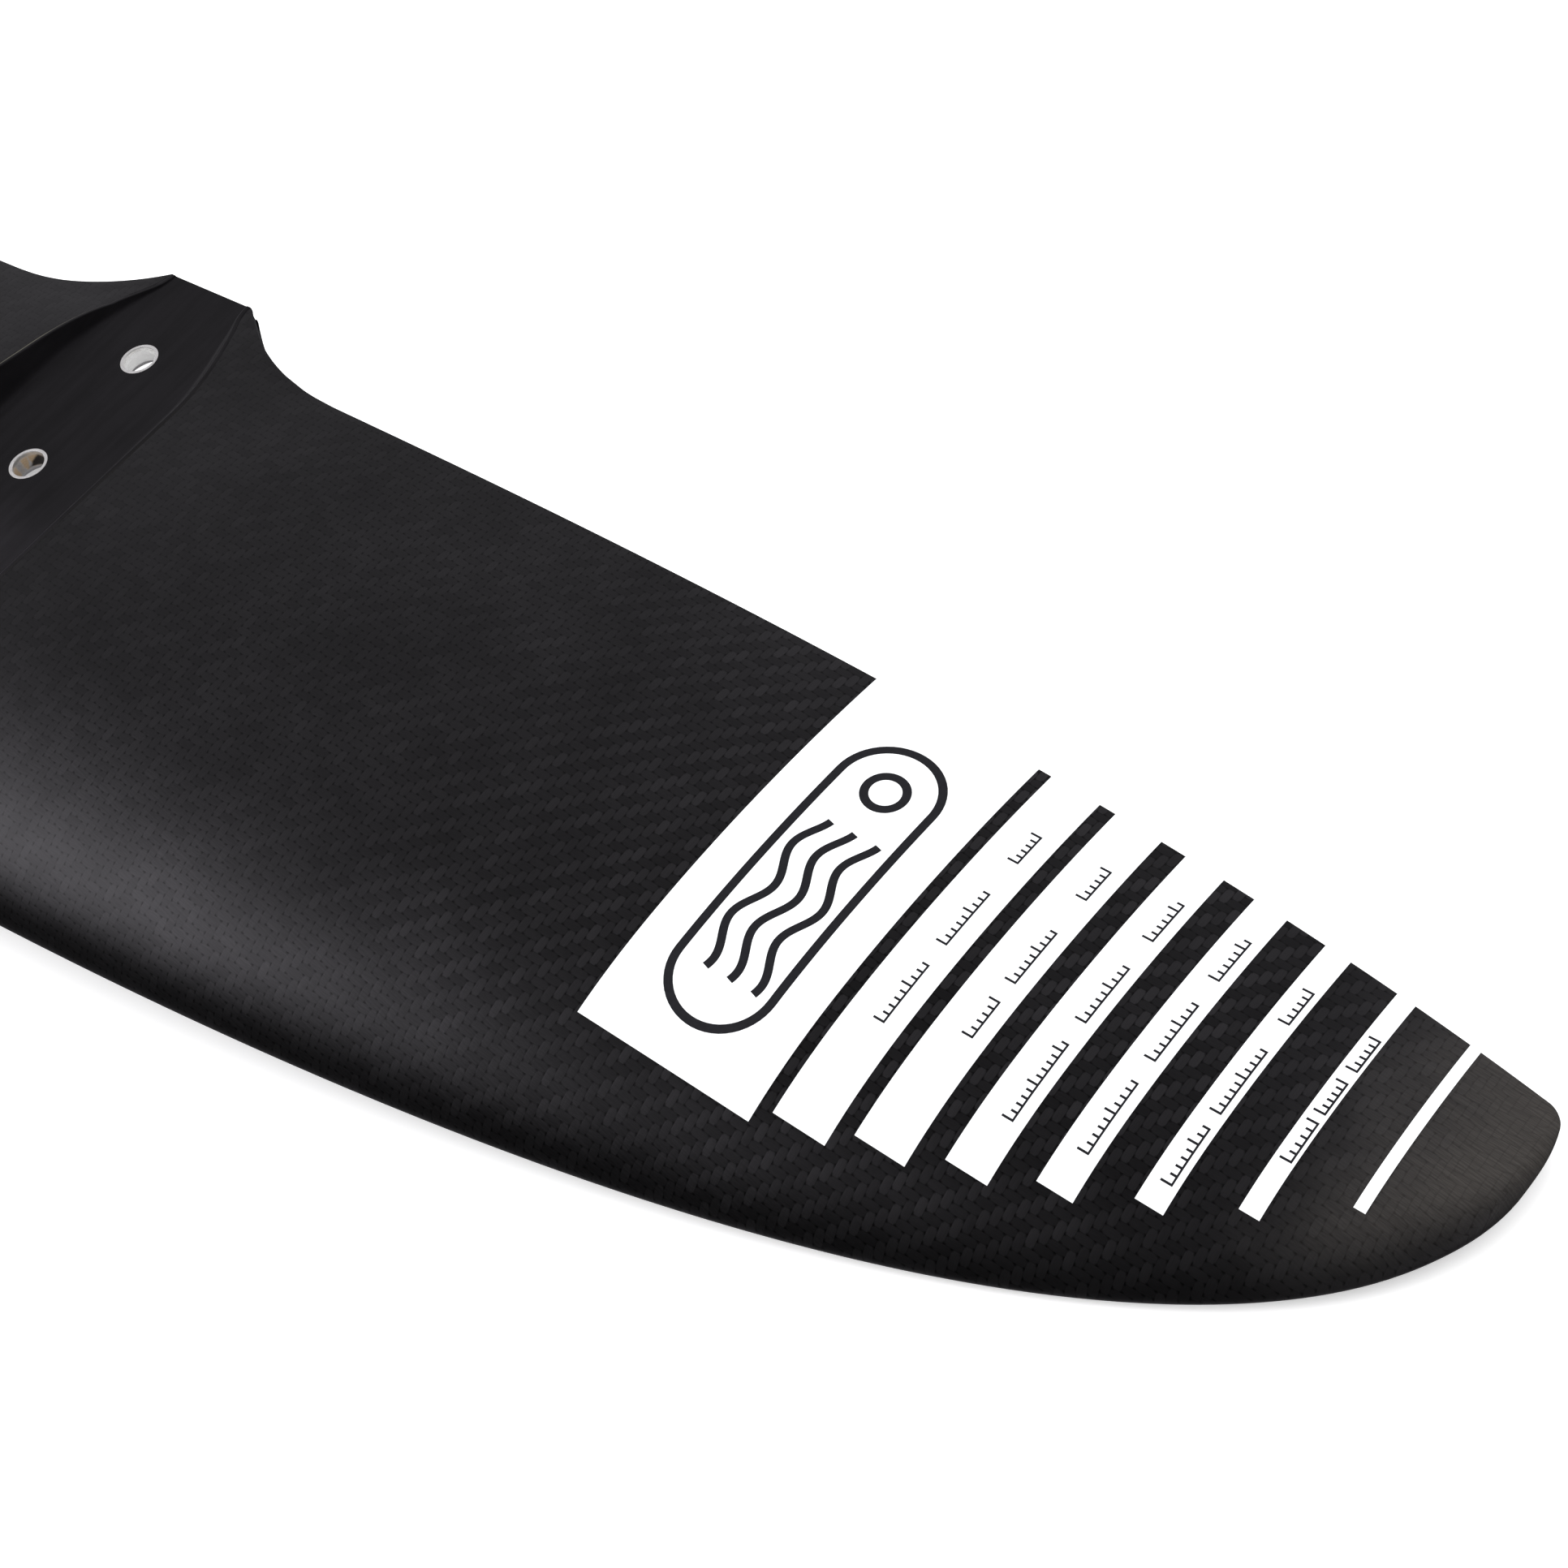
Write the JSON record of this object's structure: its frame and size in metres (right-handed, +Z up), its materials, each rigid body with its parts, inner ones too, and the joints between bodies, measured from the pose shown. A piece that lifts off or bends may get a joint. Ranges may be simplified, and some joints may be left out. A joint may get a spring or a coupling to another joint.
{
  "type": "hydrofoil front wing",
  "caption": "Carbon hydrofoil front wing with drooped, swept tips, a fuselage channel on its upper side and countersunk screw ferrules on the centreline.",
  "frame": {"origin": "centre of the rear screw hole, on the channel floor where the fuselage seats", "axes": "+X along the span, +Y towards the trailing edge and rear tab, +Z up out of the channel, the wing's convex side"},
  "size_m": [0.81, 0.1717, 0.0436],
  "materials": {
    "carbon_twill": "satin clear coat over a 2x2 twill carbon weave",
    "laminate": "solid carbon laminate",
    "spar_carbon": "unidirectional carbon",
    "web_core": "wrapped foam web",
    "foam_core": "closed-cell foam",
    "seat_laminate": "smooth unidirectional laminate",
    "ferrule_steel": "turned stainless steel",
    "print_white": "white print under clear coat",
    "print_black": "black print under clear coat"
  },
  "bodies": {
    "root": {"upper_skin": "carbon_twill", "lower_skin": "carbon_twill", "leading_edge_joint": "laminate", "trailing_edge_strip_left": "laminate", "trailing_edge_strip_right": "laminate", "spar_cap_upper_left": "spar_carbon", "spar_cap_upper_right": "spar_carbon", "spar_cap_lower_left": "spar_carbon", "spar_cap_lower_right": "spar_carbon", "spar_web_left": "web_core", "spar_web_right": "web_core", "nose_core_left": "foam_core", "nose_core_right": "foam_core", "tail_core_left": "foam_core", "tail_core_right": "foam_core", "tip_block_left": "laminate", "tip_block_right": "laminate", "mount_block": "laminate", "seat_liner": "seat_laminate", "ferrule_front": "ferrule_steel", "ferrule_middle": "ferrule_steel", "ferrule_rear": "ferrule_steel", "print_panel_left": "print_white", "print_panel_right": "print_white", "print_stripes_left": "print_white", "print_stripes_right": "print_white", "print_marks_left": "print_black", "print_marks_right": "print_black"}
  },
  "joints": []
}
